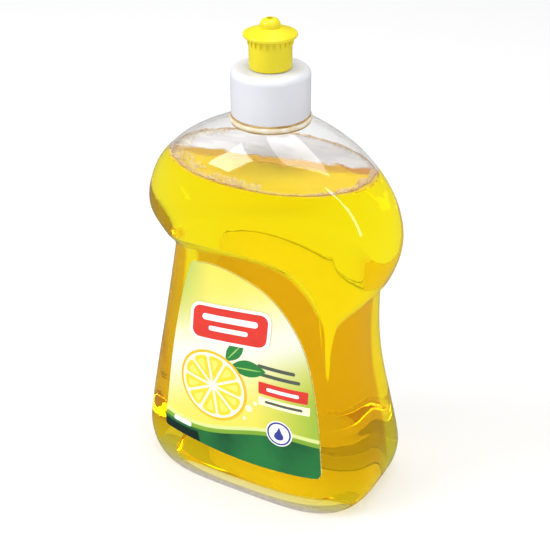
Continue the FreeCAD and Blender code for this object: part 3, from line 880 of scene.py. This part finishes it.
def make_foam_band(fill):
    """A low ragged band along the wall, with a skirt that reaches inward over the liquid."""
    vertices = []
    faces = []
    for step in range(FOAM_STEPS):
        angle = -180.0 + step * 360.0 / FOAM_STEPS
        wave = 0.35 * math.sin(angle * 0.35) * math.sin(angle * 0.13)
        ragged = 1.0 + wave + random.uniform(-0.18, 0.18)
        high = foam_height(angle) * ragged * MM
        vertices.append(rim_point(angle, fill + high, 0.08 * MM))
        vertices.append(rim_point(angle, fill + 0.5 * high, 0.25 * MM))
        low = rim_point(angle, fill + 0.1 * MM, 0.3 * MM + 0.5 * high)
        low.z = fill + 0.12 * MM
        vertices.append(low)
        inner = rim_point(angle, fill + 0.1 * MM, 0.5 * MM + 1.1 * high)
        inner.z = fill + 0.06 * MM
        vertices.append(inner)
    for step in range(FOAM_STEPS):
        first = 4 * step
        following = 4 * ((step + 1) % FOAM_STEPS)
        for row in range(3):
            faces.append((first + row, following + row, following + row + 1, first + row + 1))
    mesh_piece("foam_band", vertices, faces, foam_film(), "bottle")


def place_bubbles(fill):
    """Centres and radii of the bubbles, which reach into each other by a fifth at most."""
    placed = []
    for start, end, count, smallest, largest, reach in BUBBLE_CLUSTERS:
        for _ in range(count):
            for _ in range(BUBBLE_TRIES):
                radius = random.uniform(smallest, largest) * MM
                angle = random.uniform(start, end)
                inward = 1.6 * radius + random.random() ** 2 * reach * MM
                centre = rim_point(angle, fill + 2.0 * radius, inward)
                centre.z = fill + 1.02 * radius
                if all((centre - other).length > 0.8 * (radius + size) for other, size in placed):
                    placed.append((centre, radius))
                    break
    return placed


def make_foam():
    """Foam where the liquid meets the wall: a low band, with single bubbles on and beside it."""
    fill = max(v.co.z for v in nodes["liquid_soap"].data.vertices)
    random.seed(7)
    make_foam_band(fill)
    ball = bmesh.new()
    bmesh.ops.create_icosphere(ball, subdivisions=2, radius=1.0)
    ball_vertices = [v.co.copy() for v in ball.verts]
    ball_faces = [tuple(v.index for v in face.verts) for face in ball.faces]
    ball.free()
    vertices = []
    faces = []
    for centre, radius in place_bubbles(fill):
        base = len(vertices)
        vertices.extend(centre + radius * v for v in ball_vertices)
        faces.extend(tuple(base + i for i in face) for face in ball_faces)
    mesh_piece("foam_bubbles", vertices, faces, bubble_skin(), "bottle")


def helix_ridge(name, body, root, crest, start, material):
    """A thread that fades in and out at its ends, from a root radius to a crest radius."""
    steps = 108
    fade_share = 0.08
    least_fade = 0.02
    half_foot = 0.8
    half_crest = 0.35
    vertices = []
    faces = []
    for step in range(steps + 1):
        share = step / steps
        angle = 2 * math.pi * THREAD_TURNS * share
        fade = min(1.0, share / fade_share, (1 - share) / fade_share)
        reach = root + (crest - root) * max(fade, least_fade)
        height = start + THREAD_LEAD * THREAD_TURNS * share
        for radius, offset in ((root, -half_foot), (reach, -half_crest * fade), (reach, half_crest * fade),
                               (root, half_foot)):
            vertices.append((radius * math.cos(angle), radius * math.sin(angle), height + offset * MM))
    for step in range(steps):
        for corner in range(4):
            low = 4 * step + corner
            side = 4 * step + (corner + 1) % 4
            faces.append((low, side, side + 4, low + 4))
    faces.append((0, 1, 2, 3))
    last = 4 * steps
    faces.append((last + 3, last + 2, last + 1, last))
    mesh_piece(name, vertices, faces, material, body, smooth=False)


def make_threads():
    """The neck's and the closure's threads, about half a lead apart."""
    clear = nodes["bottle"].data.materials[0]
    white = nodes["screw_cap"].data.materials[0]
    helix_ridge("neck_thread", "bottle", 10.8 * MM, 11.85 * MM, 154.6 * MM, clear)
    helix_ridge("cap_thread", "cap", 12.3 * MM, 11.35 * MM, 153.01 * MM, white)


def ring_piece(name, section, material, body, around=120):
    """A closed section of (radius, height) in millimetres, turned about the neck's axis."""
    vertices = []
    faces = []
    count = len(section)
    for step in range(around):
        angle = 2 * math.pi * step / around
        for radius, height in section:
            vertices.append((radius * math.cos(angle) * MM, radius * math.sin(angle) * MM, height * MM))
    for step in range(around):
        near = count * step
        far = count * ((step + 1) % around)
        for row in range(count):
            following = (row + 1) % count
            faces.append((near + row, far + row, far + following, near + following))
    mesh_piece(name, vertices, faces, material, body)


def make_bead_seams():
    """Round the bead: a golden line at its upper and lower edge and a pale film between."""
    gold = gold_seam()
    for name, ring_radius, height, thickness in (("upper_seam", 13.7, 149.14, 0.33),
                                                 ("lower_seam", 13.95, 147.0, 0.3)):
        section = [(ring_radius + thickness * math.cos(math.radians(turn)),
                    height + thickness * math.sin(math.radians(turn))) for turn in range(0, 360, 45)]
        ring_piece(name, section, gold, "bottle")
    film = [(14.1, 147.2), (14.42, 147.42), (14.56, 147.8), (14.56, 148.2), (14.42, 148.6),
            (14.0, 148.86)]
    inner = [(radius - 0.03, height) for radius, height in reversed(film)]
    ring_piece("bead_film", film + inner, pale_ring_look(), "bottle")


dress("bottle", clear_plastic(), wetted_wall())
dress("liquid_soap", soap(), soap_top())
mark_wetted_wall()
mark_liquid_top()
swell_liquid()
printed_side = label_ground()
plain_side = label_back()
for film, side in (("front_label", -1.0), ("back_label", 1.0)):
    dress(film, printed_side, plain_side)
    mark_plain_side(film, side)
    push_out(film, LABEL_PUSH)
dress("cap_liner", liner_foam())
dress("screw_cap", white_plastic())
dress("pull_spout", yellow_plastic())
label_surfaces = {"front": shown_surface("front_label"), "back": shown_surface("back_label")}
wall_surface = shown_surface("bottle")
make_print()
make_foam()
make_threads()
make_bead_seams()

make_studio()
make_camera()
bpy.context.scene.view_settings.view_transform = "Standard"
light_paths = bpy.context.scene.cycles
light_paths.max_bounces = 64
light_paths.glossy_bounces = 32
light_paths.transmission_bounces = 64
light_paths.transparent_max_bounces = 256
